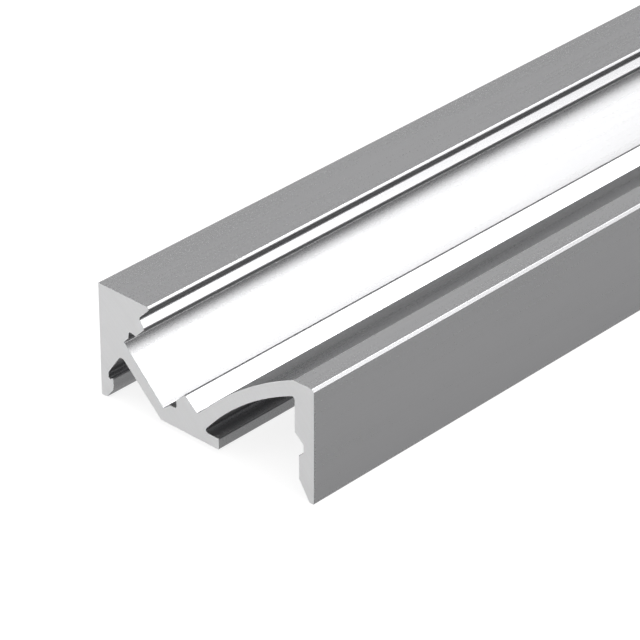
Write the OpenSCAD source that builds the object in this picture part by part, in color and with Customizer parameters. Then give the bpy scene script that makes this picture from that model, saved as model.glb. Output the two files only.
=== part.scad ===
// LED strip profile
//
// One length of extruded aluminium. A strip of lights sticks to the slanted
// seat and shines up and across under the arch, which turns the light towards
// the room. Snap pockets in both walls of the seat and the two ledges above
// it take a diffuser. The section is drawn from its lower left corner, and the
// bar runs along Y, standing on its leg and the tip of its skirt.

/* [Bar] */
// Length of the bar
length = 1000; // [250:50:3000]
// Width over the two outer faces
width = 40; // [39:0.5:48]
// Height from the feet to the flat top
height = 17.8; // [17.4:0.1:20]

/* [Strip channel] */
// Slope of the seat below level
seat_slope = 45; // [42:0.5:47]
// Width of the seat between its walls
seat_w = 10.35; // [9:0.05:10.6]
// Distance of the upper end of the seat from the left face
seat_x = 4.8; // [4:0.1:5.5]
// Height of the upper end of the seat
seat_z = 10.3; // [10:0.1:11]
// Lean of the lower wall away from the seat, up to its pocket
low_wall_lean = 0.15; // [0:0.05:0.3]
// Lean of the upper wall away from the seat, up to its pocket
high_wall_lean = 0.05; // [0:0.05:0.2]
// Thickness of the web at the upper end of the seat
web_t = 2.25; // [1.6:0.05:2.3]
// Thickness of the web at its foot
web_foot_t = 1.9; // [1.4:0.1:2.1]

/* [Snap pockets] */
// Opening of a pocket along its wall
pocket_h = 1.65; // [1.3:0.05:2]
// Height of the deepest line of a pocket above its lower edge
pocket_mid = 0.9; // [0.7:0.05:1]
// Radius along the deepest line of a pocket
pocket_r = 0.4; // [0.1:0.05:0.45]
// Depth of the upper pocket
high_pocket_d = 0.8; // [0.6:0.05:1]
// Height of the upper pocket above the seat
high_pocket_rise = 1.3; // [0.8:0.1:1.8]
// Overhang of the lip above the upper pocket
lip_over = 0.35; // [0.1:0.05:0.6]
// Depth of the lower pocket
low_pocket_d = 0.9; // [0.6:0.05:1]
// Height of the lower pocket above the seat
low_pocket_rise = 1.6; // [0.8:0.1:1.8]

/* [Diffuser ledges] */
// Height of the inner edge of the upper ledge above the seat
high_ledge_rise = 5.45; // [5:0.05:6]
// Width of the upper ledge behind the wall of the seat
high_ledge_w = 1.4; // [0.8:0.1:1.8]
// Height of the inner edge of the lower ledge above the seat
low_ledge_rise = 5.75; // [5:0.05:6]
// Width of the lower ledge, across the ridge
low_ledge_w = 3; // [2.4:0.1:3.2]
// Fall of each ledge towards the seat
ledge_fall = 0.25; // [0:0.05:0.5]
// Height of the wall behind the lower ledge
low_ledge_wall = 1.75; // [1:0.05:2]
// Lean of the wall behind the lower ledge
low_ledge_lean = 0.1; // [0:0.05:0.2]
// Radius at the root of the upper ledge and on the inner edges of both ledges
ledge_r = 0.45; // [0.2:0.05:0.5]
// Width of the flat top over the upper ledge
top_flat_w = 9.55; // [9:0.05:9.7]
// Height of the bevel on the nose of the flat top
nose_bevel = 0.5; // [0.2:0.05:0.8]

/* [Arch] */
// Radius of the upper face of the arch
arch_r = 53; // [45:1:70]
// Radius of the lower face of the arch
arch_under_r = 42.4; // [40:0.2:50]
// Width of the flat top over the skirt
crest_w = 3.6; // [3.4:0.1:4]
// Depth of the arch below the flat top, at the skirt
arch_t = 2.45; // [1.8:0.05:3]

/* [Base foot] */
// Height of the flat base above the floor
base_gap = 0.85; // [0.3:0.05:1.2]
// Thickness of the base foot
base_t = 1.8; // [1.2:0.1:2]
// Distance of the free end of the base from the left face
base_x = 22.6; // [21:0.1:24]
// Distance from the left face at which the arch meets the base
base_in_x = 19.8; // [19.3:0.1:20.5]

/* [Skirt] */
// Thickness of the skirt above its groove
skirt_t = 3.5; // [2.8:0.1:4]
// Thickness of the skirt below its groove
skirt_low_t = 2.75; // [2.2:0.05:3]
// Thickness of the skirt behind its groove
groove_web_t = 1.95; // [1.2:0.05:2.1]
// Height of the upper edge of the groove
groove_top_z = 9.9; // [9:0.1:10.5]
// Height of the lower end of the groove's floor
groove_low_z = 7.35; // [6.6:0.05:7.6]
// Length of the groove's floor
groove_floor = 1.2; // [0.6:0.1:1.4]
// Slope of the hook under the groove
hook_slope = 45; // [30:5:60]
// Height at which the tip starts to taper
tip_z = 3; // [2:0.1:4]
// Width of the tip at the floor
tip_w = 0.85; // [0.7:0.05:1.4]
// Width of the bevel on the upper outer edge
bevel_w = 0.35; // [0.2:0.05:0.6]
// Height of the bevel on the upper outer edge
bevel_h = 0.4; // [0.2:0.05:0.8]

/* [Left leg] */
// Width of the foot of the leg
foot_w = 2.45; // [2:0.05:2.8]
// Height at which the foot starts to taper
foot_z = 1.75; // [1.4:0.05:2]
// Width of the foot at the floor
foot_tip_w = 1.15; // [1.1:0.05:1.5]
// Radius at both ends of the taper
foot_r = 1; // [0.4:0.1:1]
// Height of the top of the bulge on the foot
bulge_z = 3.65; // [3.2:0.05:3.9]
// Thickness of the leg behind the bulge
leg_t = 1.55; // [1:0.05:1.8]
// Depth of the notch behind the bulge
notch_d = 0.6; // [0.3:0.05:0.8]
// Height at which the leg starts to thicken
leg_z = 4.15; // [3.9:0.05:4.6]
// Slope of the thickening side of the leg
leg_slope = 55.5; // [50:0.5:60]
// Radius at the top of the space between leg and web
leg_top_r = 0.75; // [0.3:0.05:0.8]

/* [Edges] */
// Radius on sharp corners
edge_r = 0.2; // [0.05:0.05:0.25]
// Radius on blunt corners, such as the nose, the tip and the end of the base
end_r = 0.35; // [0.2:0.05:0.4]
// Radius in the two inner corners under the arch
fillet_r = 0.35; // [0.2:0.05:0.5]

/* [Hidden] */
$fn = 96;
// How far a rounding arc crosses the edges it joins, so that no sliver is left
weld = 0.0002;
// How far the arch reaches into its neighbours
overlap = 0.3;

// Point of the strip channel: u along the seat from its upper end, v above it
function seat_point(u, v) = [
    seat_x + u * cos(seat_slope) + v * sin(seat_slope),
    seat_z - u * sin(seat_slope) + v * cos(seat_slope)
];

// Point at height z on the line along the channel that starts at p
function down_to(p, z) = [p[0] + (p[1] - z) / tan(seat_slope), z];

// Point at height z on the line up the channel that starts at p
function up_to(p, z) = [p[0] + (z - p[1]) * tan(seat_slope), z];

// Point where the line through a at slope s meets the line from b to c
function meet(a, s, b, c) =
    let (n = [-sin(s), cos(s)])
    b + (c - b) * (n * (a - b)) / (n * (c - b));

// Centre of the circle of radius r on which the arch rises from a to b
function arch_centre(a, b, r) =
    let (d = b - a, half = norm(d) / 2)
    (a + b) / 2 + sqrt(r * r - half * half) * [d[1], -d[0]] / norm(d);

// Channel
low_wall_u = seat_w + low_wall_lean;
web_foot = down_to(seat_point(0, -web_foot_t), base_gap);
nose = up_to(seat_point(-high_ledge_w, 0), height - nose_bevel);
valley_u = low_wall_u + low_ledge_w;
valley_v = low_ledge_rise + ledge_fall;
valley = seat_point(valley_u, valley_v);
arch_start = seat_point(valley_u + low_ledge_lean, valley_v + low_ledge_wall);

// Arch
crest = [width - crest_w, height];
base_top_z = base_gap + base_t;
skirt_in_x = width - skirt_t;
arch_low = [base_in_x, base_top_z];
arch_high = [skirt_in_x, height - arch_t];
over_centre = arch_centre(arch_start, crest, arch_r);
under_centre = arch_centre(arch_low, arch_high, arch_under_r);

// How far the two fillets under the arch reach along its lower face
function slope_under_arch(p) = asin((under_centre[0] - p[0]) / arch_under_r);
low_reach = fillet_r / tan(slope_under_arch(arch_low) / 2);
high_reach = fillet_r / tan((90 - slope_under_arch(arch_high)) / 2);

function turned(v, a) = [v[0] * cos(a) - v[1] * sin(a), v[0] * sin(a) + v[1] * cos(a)];

// Point inside the arch. The line from p to it crosses the lower face half way,
// at distance d from p. The side is -1 up the arch and 1 down it.
function inside_arch(p, d, side) =
    let (
        angle = side * 2 * asin(d / (2 * arch_under_r)),
        on_face = under_centre + turned(p - under_centre, angle)
    )
    on_face + (on_face - p);

// Skirt
groove_x = width - groove_web_t;
skirt_low_x = width - skirt_low_t;
hook_z = groove_low_z - (groove_x - skirt_low_x) * tan(hook_slope);

// Corner of an outline with its radius, and the same for a channel point
function corner(p, r = 0) = [p[0], p[1], r];
function channel_corner(u, v, r = 0) = corner(seat_point(u, v), r);

function unit(v) = v / norm(v);
function half_angle(a, p, b) = acos(unit(a - p) * unit(b - p)) / 2;
function turns_left(a, p, b) = cross(p - a, b - p) > 0;

// Ends and centre of the arc that rounds corner p between neighbours a and b
function arc_ends(a, p, b, r) =
    let (t = r / tan(half_angle(a, p, b)))
    r > 0 ? [p + unit(a - p) * t, p + unit(b - p) * t] : [p];
function arc_centre(a, p, b, r) =
    p + unit(unit(a - p) + unit(b - p)) * r / sin(half_angle(a, p, b));

// Closed outline through corners [x, y, radius], listed counter-clockwise.
// Its arcs are true circles: an outer corner gains one, an inner one loses one.
module rounded_outline(corners) {
    n = len(corners);
    at = [for (c = corners) [c[0], c[1]]];
    before = [for (i = [0:n - 1]) at[(i + n - 1) % n]];
    after = [for (i = [0:n - 1]) at[(i + 1) % n]];

    module arcs(outer) {
        for (i = [0:n - 1])
            if (corners[i][2] > 0 && turns_left(before[i], at[i], after[i]) == outer)
                translate(arc_centre(before[i], at[i], after[i], corners[i][2]))
                    circle(corners[i][2] + weld);
    }

    difference() {
        union() {
            polygon([
                for (i = [0:n - 1])
                    each arc_ends(before[i], at[i], after[i], corners[i][2])
            ]);
            arcs(outer = true);
        }
        arcs(outer = false);
    }
}

// Leg, block, web with the seat, base foot and ridge
module body_section() {
    leg_side = [leg_t, leg_z];
    leg_top = meet(leg_side, leg_slope, seat_point(0, -web_t), web_foot);
    rounded_outline([
        // Leg and the space beside it
        corner([0, 0], edge_r),
        corner([foot_tip_w, 0], foot_r),
        corner([foot_w, foot_z], foot_r),
        corner([foot_w, bulge_z], edge_r),
        corner([leg_t, bulge_z - notch_d], edge_r),
        corner(leg_side, end_r),
        corner(leg_top, leg_top_r),
        // Base foot
        corner(web_foot, edge_r),
        corner([base_x, base_gap], end_r),
        corner([base_x, base_top_z], edge_r),
        corner(arch_low, fillet_r),
        corner(inside_arch(arch_low, low_reach, -1)),
        // Ridge with the lower ledge
        corner(arch_start + overlap * unit(arch_start - valley)),
        corner(valley),
        channel_corner(low_wall_u, low_ledge_rise, ledge_r),
        // Lower pocket
        channel_corner(low_wall_u, low_pocket_rise + pocket_h),
        channel_corner(low_wall_u + low_pocket_d, low_pocket_rise + pocket_mid, pocket_r),
        channel_corner(low_wall_u, low_pocket_rise),
        // Seat
        channel_corner(seat_w, 0),
        channel_corner(0, 0),
        // Upper pocket
        channel_corner(-high_wall_lean, high_pocket_rise),
        channel_corner(-high_pocket_d, high_pocket_rise + pocket_mid, pocket_r),
        channel_corner(lip_over, high_pocket_rise + pocket_h),
        // Upper ledge and block
        channel_corner(lip_over, high_ledge_rise, ledge_r),
        channel_corner(-high_ledge_w, high_ledge_rise + ledge_fall, ledge_r),
        corner(nose, end_r),
        corner([top_flat_w, height]),
        corner([0, height], edge_r)
    ]);
}

// Arch between the ridge and the skirt, over the space under it
module arch_section() {
    intersection() {
        difference() {
            translate(over_centre) circle(arch_r);
            translate(under_centre) circle(arch_under_r);
        }
        polygon([
            [arch_start[0] - overlap, height],
            arch_start - [overlap, 2 * overlap],
            arch_low + [-overlap, 0],
            arch_low,
            arch_high,
            arch_high + [overlap, 0],
            [skirt_in_x + overlap, height]
        ]);
    }
}

// Skirt with its clip groove and tapered tip
module skirt_section() {
    rounded_outline([
        corner([skirt_low_x, tip_z]),
        corner([width - tip_w, 0], edge_r),
        corner([width, 0], end_r),
        corner([width, height - bevel_h], edge_r),
        corner([width - bevel_w, height]),
        corner([skirt_in_x, height]),
        corner(inside_arch(arch_high, high_reach, 1)),
        corner(arch_high, fillet_r),
        corner([skirt_in_x, groove_top_z]),
        corner([groove_x, groove_low_z + groove_floor], end_r),
        corner([groove_x, groove_low_z], edge_r),
        corner([skirt_low_x, hook_z])
    ]);
}

module section() {
    intersection() {
        square([width, height]);
        union() {
            body_section();
            arch_section();
            skirt_section();
        }
    }
}

module profile() {
    color("silver")
        translate([-width / 2, 0, 0])
            rotate([90, 0, 0])
                linear_extrude(height = length, center = true)
                    section();
}

profile();
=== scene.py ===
"""The looks of the LED strip profile: its section at full fineness, its satin skin and sawn ends."""

import math

import bpy
from mathutils import Matrix, Vector


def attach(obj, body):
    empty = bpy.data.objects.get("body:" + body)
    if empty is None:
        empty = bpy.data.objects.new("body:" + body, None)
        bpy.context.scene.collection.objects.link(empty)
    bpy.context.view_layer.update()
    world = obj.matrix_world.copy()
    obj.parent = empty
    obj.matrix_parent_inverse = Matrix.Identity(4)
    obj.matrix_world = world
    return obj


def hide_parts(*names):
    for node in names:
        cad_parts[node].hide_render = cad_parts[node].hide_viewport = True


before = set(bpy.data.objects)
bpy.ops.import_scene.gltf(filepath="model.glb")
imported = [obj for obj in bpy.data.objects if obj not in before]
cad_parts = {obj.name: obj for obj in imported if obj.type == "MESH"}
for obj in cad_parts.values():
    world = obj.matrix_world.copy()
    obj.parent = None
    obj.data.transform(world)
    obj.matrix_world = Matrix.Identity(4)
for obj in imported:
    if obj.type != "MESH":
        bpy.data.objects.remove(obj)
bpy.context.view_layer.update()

MM = 0.001

# Sizes of the section in mm, from the left face and the floor, as in the solid

LENGTH = 1000
WIDTH = 40
HEIGHT = 17.8

# Seat, the lean of the two walls beside it, and the web under it
SEAT_SLOPE = math.radians(45)
SEAT_W = 10.35
SEAT_X = 4.8                        # X and Z of its upper end
SEAT_Z = 10.3
LOW_WALL_LEAN = 0.15
HIGH_WALL_LEAN = 0.05
WEB_T = 2.25
WEB_FOOT_T = 1.9

# Snap pockets in the walls. Each rise is above the seat
POCKET_H = 1.65
POCKET_MID = 0.9                    # from a pocket's lower edge to its deepest line
POCKET_R = 0.4
HIGH_POCKET_D = 0.8
HIGH_POCKET_RISE = 1.3
LIP_OVER = 0.35                     # overhang above the upper pocket
LOW_POCKET_D = 0.9
LOW_POCKET_RISE = 1.6

# Ledges for the diffuser, the ridge behind the lower one, and the block
HIGH_LEDGE_RISE = 5.45
HIGH_LEDGE_W = 1.4
LOW_LEDGE_RISE = 5.75
LOW_LEDGE_W = 3
LEDGE_FALL = 0.25
LOW_LEDGE_WALL = 1.75
LOW_LEDGE_LEAN = 0.1
LEDGE_R = 0.45
TOP_FLAT_W = 9.55
NOSE_BEVEL = 0.5

# Arch, from the ridge to the flat top over the skirt
ARCH_R = 53
ARCH_UNDER_R = 42.4
CREST_W = 3.6
ARCH_T = 2.45                       # depth below the flat top, at the skirt

# Base foot
BASE_GAP = 0.85
BASE_T = 1.8
BASE_X = 22.6                       # its free end
BASE_IN_X = 19.8                    # where the arch meets it

# Skirt, its clip groove, tip and bevel
SKIRT_T = 3.5
SKIRT_LOW_T = 2.75
GROOVE_WEB_T = 1.95
GROOVE_TOP_Z = 9.9
GROOVE_LOW_Z = 7.35
GROOVE_FLOOR = 1.2
HOOK_SLOPE = math.radians(45)
TIP_Z = 3
TIP_W = 0.85
BEVEL_W = 0.35
BEVEL_H = 0.4

# Leg under the block
FOOT_W = 2.45
FOOT_Z = 1.75                       # where the foot starts to taper
FOOT_TIP_W = 1.15
FOOT_R = 1
BULGE_Z = 3.65                      # top of the bulge on the foot
LEG_T = 1.55
NOTCH_D = 0.6
LEG_Z = 4.15                        # where the leg starts to thicken
LEG_SLOPE = math.radians(55.5)
LEG_TOP_R = 0.75

# Radii at sharp corners, at blunt ones and in the two corners under the arch
EDGE_R = 0.2
END_R = 0.35
FILLET_R = 0.35

# Fineness of the mesh, in mm and by angle

CRISP_R = 0.12                      # what the die leaves on an edge that looks sharp
BURR = 0.05                         # width of the broken edge round a sawn end
WORN_W = 0.3                        # how far the wear of an edge reaches into its faces
ROOM_TO_WEAR = 2.5 * WORN_W         # a shorter side is left without points for its wear
FLAT = 0.01                         # the most by which the normals at the ends of a flat side differ
ARC_STEP = math.radians(9)          # the most that one step round a corner turns
CHORD = 1.0                         # about the length of a step along the arch
LEAST_STEPS = 2                     # on any arc


# Outline of the section

def seat_point(u, v):
    """Point of the strip channel: u along the seat from its upper end, v above it."""
    c, s = math.cos(SEAT_SLOPE), math.sin(SEAT_SLOPE)
    return Vector((SEAT_X + u * c + v * s, SEAT_Z - u * s + v * c))


def arch_centre(a, b, r):
    """Centre of the circle of radius r on which the arch rises from a to b."""
    d = b - a
    return (a + b) / 2 + math.sqrt(r * r - d.length_squared / 4) * Vector((d.y, -d.x)).normalized()


def meet(a, slope, b, c):
    """Point where the line through a at a slope meets the line from b to c."""
    n = Vector((-math.sin(slope), math.cos(slope)))
    return b + (c - b) * n.dot(a - b) / n.dot(c - b)


def along_arch(a, b, centre, side):
    """[(point, normal)] on the circle from a to b, without its ends. Side is 1 on the outside."""
    start, end = a - centre, b - centre
    turn = start.angle_signed(end)
    n = max(LEAST_STEPS, round(abs(turn) * start.length / CHORD))
    out = []
    for i in range(1, n):
        spoke = Matrix.Rotation(-turn * i / n, 2) @ start
        out.append((centre + spoke, side * spoke.normalized()))
    return out


def rounded(corners):
    """[(point, normal, wear)] round a closed outline of corners (point, radius) and (point, normal)."""
    out = []
    for i, (p, r) in enumerate(corners):
        if isinstance(r, Vector):
            out.append((p, r, 0.0))
            continue
        to_a = (corners[i - 1][0] - p).normalized()
        to_b = (corners[(i + 1) % len(corners)][0] - p).normalized()
        half = to_a.angle(to_b) / 2
        centre = p + (to_a + to_b).normalized() * r / math.sin(half)
        start = p + to_a * r / math.tan(half) - centre
        side = 1 if to_a.x * to_b.y - to_a.y * to_b.x < 0 else -1
        sweep = side * (math.pi - 2 * half)
        n = max(LEAST_STEPS, math.ceil(abs(sweep) / ARC_STEP))
        for k in range(n + 1):
            spoke = Matrix.Rotation(sweep * k / n, 2) @ start
            out.append((centre + spoke, side * spoke.normalized(), 1.0 if side > 0 else 0.0))
    return out


def with_worn_strips(outline):
    """The outline with a point beside each worn edge, where its wear has faded to nothing."""
    out = []
    for (p, m, wear), (q, k, next_wear) in zip(outline, outline[1:] + outline[:1]):
        out.append((p, m, wear))
        side = q - p
        if side.length < ROOM_TO_WEAR or (m - k).length > FLAT:
            continue
        step = side.normalized() * WORN_W
        if wear:
            out.append((p + step, m, 0.0))
        if next_wear:
            out.append((q - step, k, 0.0))
    return out


def section():
    """[(point, normal, wear)] of the whole section, counter-clockwise from the lower left corner."""
    low_wall_u = SEAT_W + LOW_WALL_LEAN
    valley_u = low_wall_u + LOW_LEDGE_W
    valley_v = LOW_LEDGE_RISE + LEDGE_FALL
    web_top = seat_point(0, -WEB_FOOT_T)
    web_foot = Vector((web_top.x + (web_top.y - BASE_GAP) / math.tan(SEAT_SLOPE), BASE_GAP))
    leg_side = Vector((LEG_T, LEG_Z))
    ledge_end = seat_point(-HIGH_LEDGE_W, 0)
    nose_z = HEIGHT - NOSE_BEVEL
    nose = Vector((ledge_end.x + (nose_z - ledge_end.y) * math.tan(SEAT_SLOPE), nose_z))
    base_top = BASE_GAP + BASE_T
    arch_low = Vector((BASE_IN_X, base_top))
    arch_high = Vector((WIDTH - SKIRT_T, HEIGHT - ARCH_T))
    crest = Vector((WIDTH - CREST_W, HEIGHT))
    arch_start = seat_point(valley_u + LOW_LEDGE_LEAN, valley_v + LOW_LEDGE_WALL)
    under = arch_centre(arch_low, arch_high, ARCH_UNDER_R)
    over = arch_centre(arch_start, crest, ARCH_R)
    groove_x = WIDTH - GROOVE_WEB_T
    skirt_low_x = WIDTH - SKIRT_LOW_T
    hook_z = GROOVE_LOW_Z - (groove_x - skirt_low_x) * math.tan(HOOK_SLOPE)

    def at(x, z, r=CRISP_R):
        """Corner at x from the left face and z above the floor."""
        return (Vector((x, z)), r)

    def channel(u, v, r=CRISP_R):
        """Corner of the strip channel."""
        return (seat_point(u, v), r)

    return with_worn_strips(rounded([
        # Leg and the space beside it
        at(0, 0, EDGE_R),
        at(FOOT_TIP_W, 0, FOOT_R),
        at(FOOT_W, FOOT_Z, FOOT_R),
        at(FOOT_W, BULGE_Z, EDGE_R),
        at(LEG_T, BULGE_Z - NOTCH_D, EDGE_R),
        (leg_side, END_R),
        (meet(leg_side, LEG_SLOPE, seat_point(0, -WEB_T), web_foot), LEG_TOP_R),
        # Base foot
        (web_foot, EDGE_R),
        at(BASE_X, BASE_GAP, END_R),
        at(BASE_X, base_top, EDGE_R),
        # Under the arch
        (arch_low, FILLET_R),
        *along_arch(arch_low, arch_high, under, -1),
        (arch_high, FILLET_R),
        # Skirt with its clip groove and tapered tip
        at(WIDTH - SKIRT_T, GROOVE_TOP_Z),
        at(groove_x, GROOVE_LOW_Z + GROOVE_FLOOR, END_R),
        at(groove_x, GROOVE_LOW_Z, EDGE_R),
        at(skirt_low_x, hook_z),
        at(skirt_low_x, TIP_Z),
        at(WIDTH - TIP_W, 0, EDGE_R),
        at(WIDTH, 0, END_R),
        at(WIDTH, HEIGHT - BEVEL_H, EDGE_R),
        at(WIDTH - BEVEL_W, HEIGHT),
        # Over the arch
        (crest, CRISP_R),
        *along_arch(crest, arch_start, over, 1),
        (arch_start, CRISP_R),
        # Ridge with the lower ledge
        channel(valley_u, valley_v),
        channel(low_wall_u, LOW_LEDGE_RISE, LEDGE_R),
        # Lower pocket
        channel(low_wall_u, LOW_POCKET_RISE + POCKET_H),
        channel(low_wall_u + LOW_POCKET_D, LOW_POCKET_RISE + POCKET_MID, POCKET_R),
        channel(low_wall_u, LOW_POCKET_RISE),
        # Seat
        channel(SEAT_W, 0),
        channel(0, 0),
        # Upper pocket
        channel(-HIGH_WALL_LEAN, HIGH_POCKET_RISE),
        channel(-HIGH_POCKET_D, HIGH_POCKET_RISE + POCKET_MID, POCKET_R),
        channel(LIP_OVER, HIGH_POCKET_RISE + POCKET_H),
        # Upper ledge and block
        channel(LIP_OVER, HIGH_LEDGE_RISE, LEDGE_R),
        channel(-HIGH_LEDGE_W, HIGH_LEDGE_RISE + LEDGE_FALL, LEDGE_R),
        (nose, END_R),
        at(TOP_FLAT_W, HEIGHT),
        at(0, HEIGHT, EDGE_R),
    ]))


# Mesh of the bar, and its two material slots

SKIN_SLOT = 0
CUT_SLOT = 1


def bar(name, outline):
    """The section drawn along Y, with a broken edge round each sawn end and its wear in edge_wear."""
    half = LENGTH / 2
    n = len(outline)
    # Rings along the bar: place, inset, how far its faces lean out of the section, worn all round
    rings = [
        (-half, BURR, -1, True),
        (-half + BURR, 0, 0, True),
        (-half + BURR + WORN_W, 0, 0, False),
        (half - BURR - WORN_W, 0, 0, False),
        (half - BURR, 0, 0, True),
        (half, BURR, 1, True),
    ]
    verts, wear = [], []
    for y, inset, _, worn in rings:
        for p, m, edge in outline:
            verts.append(((p.x - inset * m.x - WIDTH / 2) * MM, y * MM, (p.y - inset * m.y) * MM))
            wear.append(1.0 if worn else edge)

    # The skin, with a normal for each corner of each face
    faces, normals = [], []
    for band in range(len(rings) - 1):
        near_lean, far_lean = rings[band][2], rings[band + 1][2]
        for i in range(n):
            j = (i + 1) % n
            faces.append([band * n + i, (band + 1) * n + i, (band + 1) * n + j, band * n + j])
            for k, lean in ((i, near_lean), (i, far_lean), (j, far_lean), (j, near_lean)):
                m = outline[k][1]
                normals.append(Vector((m.x, lean, m.y)).normalized())
    slots = [SKIN_SLOT] * len(faces) + [CUT_SLOT] * 2

    # The two sawn ends
    last = (len(rings) - 1) * n
    faces.append(list(range(n)))
    faces.append([last + i for i in reversed(range(n))])
    normals += [Vector((0, -1, 0))] * n + [Vector((0, 1, 0))] * n

    mesh = bpy.data.meshes.new(name)
    mesh.from_pydata(verts, [], faces)
    mesh.polygons.foreach_set("material_index", slots)
    mesh.polygons.foreach_set("use_smooth", [True] * len(faces))
    mesh.attributes.new("edge_wear", "FLOAT", "POINT").data.foreach_set("value", wear)
    mesh.normals_split_custom_set(normals)
    piece = bpy.data.objects.new(name, mesh)
    bpy.context.collection.objects.link(piece)
    return piece


# Shader nodes

def node(tree, kind, inputs=None, **settings):
    """New shader node with its settings, its inputs set to numbers or linked to outputs."""
    new = tree.nodes.new("ShaderNode" + kind)
    for name, value in settings.items():
        setattr(new, name, value)
    for socket, value in (inputs or {}).items():
        if isinstance(value, bpy.types.NodeSocket):
            tree.links.new(value, new.inputs[socket])
        else:
            new.inputs[socket].default_value = value
    return new


def figure(tree, operation, a, b=0.0, c=0.0):
    """Output of a Math node."""
    return node(tree, "Math", {0: a, 1: b, 2: c}, operation=operation).outputs[0]


def noise(tree, place, per_metre, detail):
    """Noise with so many cells per metre along X, Y and Z, from about -0.5 to 0.5."""
    scaled = node(tree, "VectorMath", {0: place, 1: per_metre}, operation="MULTIPLY").outputs[0]
    grain = node(tree, "TexNoise", {"Vector": scaled, "Scale": 1.0, "Detail": detail})
    return figure(tree, "SUBTRACT", grain.outputs["Fac"], 0.5)


def weighted(tree, middle, layers, weights):
    """The middle plus each layer that has a weight, times its weight."""
    total = middle
    for name, weight in weights.items():
        total = figure(tree, "MULTIPLY_ADD", layers[name], weight, total)
    return total


def tinted(tree, colour, shade):
    """The colour made lighter or darker by the factor shade."""
    return node(tree, "VectorMath", {0: colour, 3: shade}, operation="SCALE").outputs[0]


def metal(name):
    """New material with a bare metal shader, and the shader and place to build its looks from."""
    material = bpy.data.materials.new(name)
    material.use_nodes = True
    tree = material.node_tree
    tree.nodes.clear()
    shader = node(tree, "BsdfPrincipled", {"Metallic": 1.0})
    node(tree, "OutputMaterial", {"Surface": shader.outputs["BSDF"]})
    return material, tree, shader, node(tree, "TexCoord").outputs["Object"]


def shade_metal(tree, shader, colour, shade, roughness, height, depth):
    """Links the looks to the shader. Height is from about -0.5 to 0.5, depth in metres."""
    bump = node(tree, "Bump", {"Height": height, "Distance": depth, "Strength": 1.0})
    tree.links.new(tinted(tree, colour, shade), shader.inputs["Base Color"])
    tree.links.new(roughness, shader.inputs["Roughness"])
    tree.links.new(bump.outputs["Normal"], shader.inputs["Normal"])


# Satin anodised skin

SKIN_COLOUR = (0.60, 0.60, 0.61)
SKIN_ROUGHNESS = 0.28
SKIN_DEPTH = 0.0004 * MM

# Noise: cells per metre along X, Y and Z, and detail
DIE_LINES = ((2600, 2, 2600), 3)    # lines 0.4 mm wide that run along the bar
DIE_BANDS = ((420, 1, 420), 1)
ETCH_GRAIN = ((5200, 5200, 5200), 1)
CLOUDS = ((55, 16, 55), 3)
RUBBED = ((700, 240, 700), 2)

# How much of its wear an edge shows on the whole, and how much that varies
WEAR_SHOWN = 0.5
WEAR_RANGE = 1.6

# What each layer adds to the shade, the roughness and the height
SKIN_SHADES = {"lines": 0.04, "bands": 0.03, "clouds": 0.04, "rubbed": 0.05}
SKIN_ROUGHNESSES = {"lines": 0.03, "bands": 0.02, "grain": 0.04, "clouds": 0.03, "rubbed": -0.03}
SKIN_HEIGHTS = {"lines": 0.8, "grain": 0.5}


def anodised():
    """Satin anodised skin: die lines along the bar, etched grain, faint clouds and rubbed edges."""
    material, tree, shader, place = metal("anodised_aluminium")
    layers = {
        "lines": noise(tree, place, *DIE_LINES),
        "bands": noise(tree, place, *DIE_BANDS),
        "grain": noise(tree, place, *ETCH_GRAIN),
        "clouds": noise(tree, place, *CLOUDS),
    }
    edge = node(tree, "Attribute", attribute_name="edge_wear").outputs["Fac"]
    shown = figure(tree, "MULTIPLY_ADD", noise(tree, place, *RUBBED), WEAR_RANGE, WEAR_SHOWN)
    layers["rubbed"] = figure(tree, "MULTIPLY", edge, shown)
    shade_metal(
        tree, shader, SKIN_COLOUR,
        shade=weighted(tree, 1.0, layers, SKIN_SHADES),
        roughness=weighted(tree, SKIN_ROUGHNESS, layers, SKIN_ROUGHNESSES),
        height=weighted(tree, 0.0, layers, SKIN_HEIGHTS),
        depth=SKIN_DEPTH)
    return material


# Sawn ends

CUT_COLOUR = (0.90, 0.90, 0.905)
CUT_ROUGHNESS = 0.58
CUT_DEPTH = 0.002 * MM
BLADE_X = -0.11                     # where the saw blade's middle passed, beside and under the bar
BLADE_Z = -0.10

# Noise: cells per metre away from the blade's middle, or along X, Y and Z, and detail
TEETH = ((3600, 1, 1), 3)
FEED = ((520, 1, 1), 1)
CUT_GRAIN = ((6500, 6500, 6500), 2)

# What each layer adds to the shade, the roughness and the height
CUT_SHADES = {"teeth": 0.09, "feed": 0.05, "grain": 0.04}
CUT_ROUGHNESSES = {"teeth": 0.10, "feed": 0.05, "grain": 0.10}
CUT_HEIGHTS = {"teeth": 1.0, "feed": 0.6, "grain": 0.4}


def sawn():
    """Sawn end: fine arcs left by the teeth, wider ones from the feed, and a dull torn grain."""
    material, tree, shader, place = metal("sawn_end")
    axes = node(tree, "SeparateXYZ", {0: place}).outputs
    across = figure(tree, "SUBTRACT", axes["X"], BLADE_X)
    up = figure(tree, "SUBTRACT", axes["Z"], BLADE_Z)
    from_blade = figure(tree, "SQRT", figure(tree, "ADD", figure(tree, "MULTIPLY", across, across),
                                             figure(tree, "MULTIPLY", up, up)))
    ring = node(tree, "CombineXYZ", {"X": from_blade}).outputs[0]
    layers = {
        "teeth": noise(tree, ring, *TEETH),
        "feed": noise(tree, ring, *FEED),
        "grain": noise(tree, place, *CUT_GRAIN),
    }
    shade_metal(
        tree, shader, CUT_COLOUR,
        shade=weighted(tree, 1.0, layers, CUT_SHADES),
        roughness=weighted(tree, CUT_ROUGHNESS, layers, CUT_ROUGHNESSES),
        height=weighted(tree, 0.0, layers, CUT_HEIGHTS),
        depth=CUT_DEPTH)
    return material


# The bar. Its materials go in by the order of their slots

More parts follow.
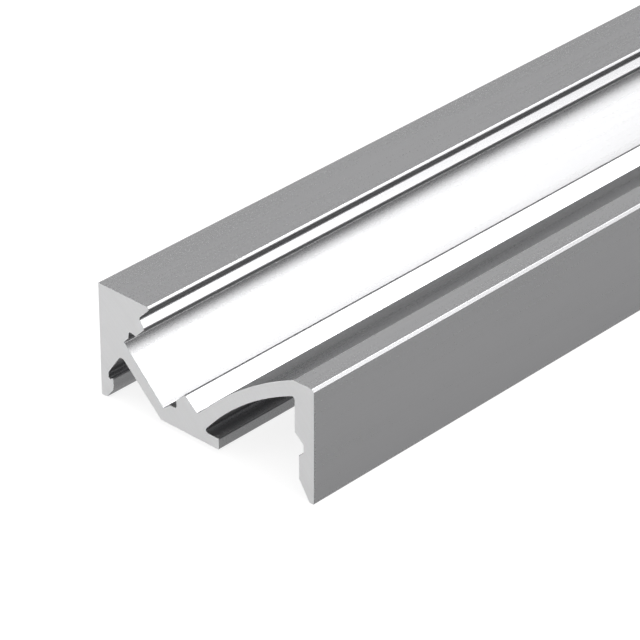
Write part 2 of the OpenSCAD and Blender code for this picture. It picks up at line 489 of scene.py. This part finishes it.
profile = bar("led_profile_bar", section())
profile.data.materials.append(anodised())
profile.data.materials.append(sawn())
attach(profile, "root")
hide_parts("profile")


# Floor

FLOOR_HALF = 4.0
FLOOR_GAP = 0.02 * MM               # keeps it clear of the bar's feet
FLOOR_COLOUR = (0.25, 0.25, 0.25, 1)
FLOOR_GLOW = 0.84                   # lifts the floor in the picture to white, and leaves its shadow

# The floor that the metal mirrors is grey, which gives the skirt's outer face its mid grey
MIRRORED_FLOOR_COLOUR = (0.45, 0.45, 0.45, 1)
MIRRORED_FLOOR_GLOW = 0.27


def lit_floor(tree, colour, glow):
    """Shader of a dull floor that glows a little."""
    lit = node(tree, "BsdfDiffuse", {"Color": colour})
    glowing = node(tree, "Emission", {"Strength": glow})
    return node(tree, "AddShader", {0: lit.outputs[0], 1: glowing.outputs[0]}).outputs[0]


def floor():
    """Pale floor just under the bar."""
    half = FLOOR_HALF
    mesh = bpy.data.meshes.new("floor")
    corners = [(-half, -half, 0), (half, -half, 0), (half, half, 0), (-half, half, 0)]
    mesh.from_pydata(corners, [], [(0, 1, 2, 3)])
    plane = bpy.data.objects.new("floor", mesh)
    plane.location.z = -FLOOR_GAP
    bpy.context.collection.objects.link(plane)
    material = bpy.data.materials.new("floor")
    material.use_nodes = True
    tree = material.node_tree
    tree.nodes.clear()
    path = node(tree, "LightPath").outputs
    mix = node(tree, "MixShader", {
        0: path["Is Camera Ray"],
        1: lit_floor(tree, MIRRORED_FLOOR_COLOUR, MIRRORED_FLOOR_GLOW),
        2: lit_floor(tree, FLOOR_COLOUR, FLOOR_GLOW),
    })
    node(tree, "OutputMaterial", {"Surface": mix.outputs[0]})
    plane.data.materials.append(material)


# Light

# Long soft lamps beyond the bar. Seen along it, each has an angle over +X, and half widths of its even
# part and in all, in degrees. Then come its strength, and the Y of the direction at which nothing of it
# is left. All of them reach past 1, so they only fade
LAMPS = [
    (66, 0, 16.5, 6.8, 1.05),
    (51, 0, 10, 0.85, 1.05),
    (24, 11, 19, 2.35, 1.05),
    (92, 10, 60, 0.63, 2),
    (172, 0, 38, 0.66, 2),
]
FULL_TO_Y = 0.5                     # the Y at which each of them starts to fade

# Towards the near end all the long lamps dim to a share, between these values of the direction's Y
FULL_FROM_Y = 0.2
DIM_FROM_Y = -0.4
DIM_SHARE = 0.35

# Round lamps: azimuth, elevation, half widths of the even part and in all, in degrees, and strength
FRONT = (-142, 0, 20, 42, 4.0)      # lights the sawn end
SKY = (90, 80, 0, 80, 0.445)

AMBIENT = 0.06                      # strength of the even light from all round
FIRST_BOUNCES = 2.5                 # all lamps but the sky are seen at ray depths below this
WHITE = (1, 1, 1, 1)


def direction(azimuth, elevation):
    """Unit vector at an azimuth from +X and an elevation, in degrees."""
    a, e = math.radians(azimuth), math.radians(elevation)
    return (math.cos(a) * math.cos(e), math.sin(a) * math.cos(e), math.sin(e))


def soft_edge(tree, value, dark, bright, strength):
    """Strength where the value is past bright, nothing where it is past dark, smooth between."""
    edge = node(tree, "MapRange", {"Value": value, "From Min": dark, "From Max": bright, "To Min": 0.0,
                                   "To Max": strength}, interpolation_type="SMOOTHSTEP")
    return edge.outputs["Result"]


def long_lamps(tree, way):
    """Light of all the long lamps from the direction way."""
    axes = node(tree, "SeparateXYZ", {0: way}).outputs
    round_bar = figure(tree, "ARCTAN2", axes["Z"], axes["X"])
    light = 0.0
    for angle, even, whole, strength, end_y in LAMPS:
        off = figure(tree, "ABSOLUTE", figure(tree, "SUBTRACT", round_bar, math.radians(angle)))
        lamp = soft_edge(tree, off, math.radians(whole), math.radians(even), strength)
        share = soft_edge(tree, axes["Y"], end_y, FULL_TO_Y, 1.0)
        light = figure(tree, "ADD", light, figure(tree, "MULTIPLY", lamp, share))
    near = figure(tree, "ADD", DIM_SHARE, soft_edge(tree, axes["Y"], DIM_FROM_Y, FULL_FROM_Y, 1 - DIM_SHARE))
    return figure(tree, "MULTIPLY", light, near)


def round_lamp(tree, way, azimuth, elevation, even, whole, strength):
    """Light of a round lamp from the direction way."""
    facing = node(tree, "VectorMath", {0: way, 1: direction(azimuth, elevation)}, operation="DOT_PRODUCT")
    return soft_edge(tree, facing.outputs["Value"], math.cos(math.radians(whole)),
                     math.cos(math.radians(even)), strength)


def studio():
    """Lamps in the world, where the camera itself sees only white."""
    world = bpy.data.worlds.new("studio")
    world.use_nodes = True
    world.cycles.sampling_method = "NONE"
    bpy.context.scene.world = world
    tree = world.node_tree
    tree.nodes.clear()
    way = node(tree, "TexCoord").outputs["Generated"]
    path = node(tree, "LightPath").outputs
    lamps = figure(tree, "ADD", long_lamps(tree, way), round_lamp(tree, way, *FRONT))
    early = figure(tree, "LESS_THAN", path["Ray Depth"], FIRST_BOUNCES)
    room = figure(tree, "ADD", round_lamp(tree, way, *SKY), AMBIENT)
    light = figure(tree, "ADD", room, figure(tree, "MULTIPLY", lamps, early))
    mix = node(tree, "MixShader", {
        0: path["Is Camera Ray"],
        1: node(tree, "Background", {"Color": WHITE, "Strength": light}).outputs[0],
        2: node(tree, "Background", {"Color": WHITE, "Strength": 1.0}).outputs[0],
    })
    node(tree, "OutputWorld", {"Surface": mix.outputs[0]})


# Camera, at the photograph's viewing angle

SENSOR = 36                         # width in mm
LENS = 205.1                        # mm
EYE = (0.2914, -0.7883, 0.2668)
TILT = math.radians(58.94)          # of the view, up from straight down
TURN = math.radians(43.16)          # of the view, to the left of +Y


def camera():
    """The scene's camera."""
    data = bpy.data.cameras.new("camera")
    data.sensor_width = SENSOR
    data.lens = LENS
    eye = bpy.data.objects.new("camera", data)
    eye.location = EYE
    eye.rotation_euler = (TILT, 0, TURN)
    bpy.context.collection.objects.link(eye)
    bpy.context.scene.camera = eye


floor()
studio()
camera()
bpy.context.scene.view_settings.view_transform = "Standard"
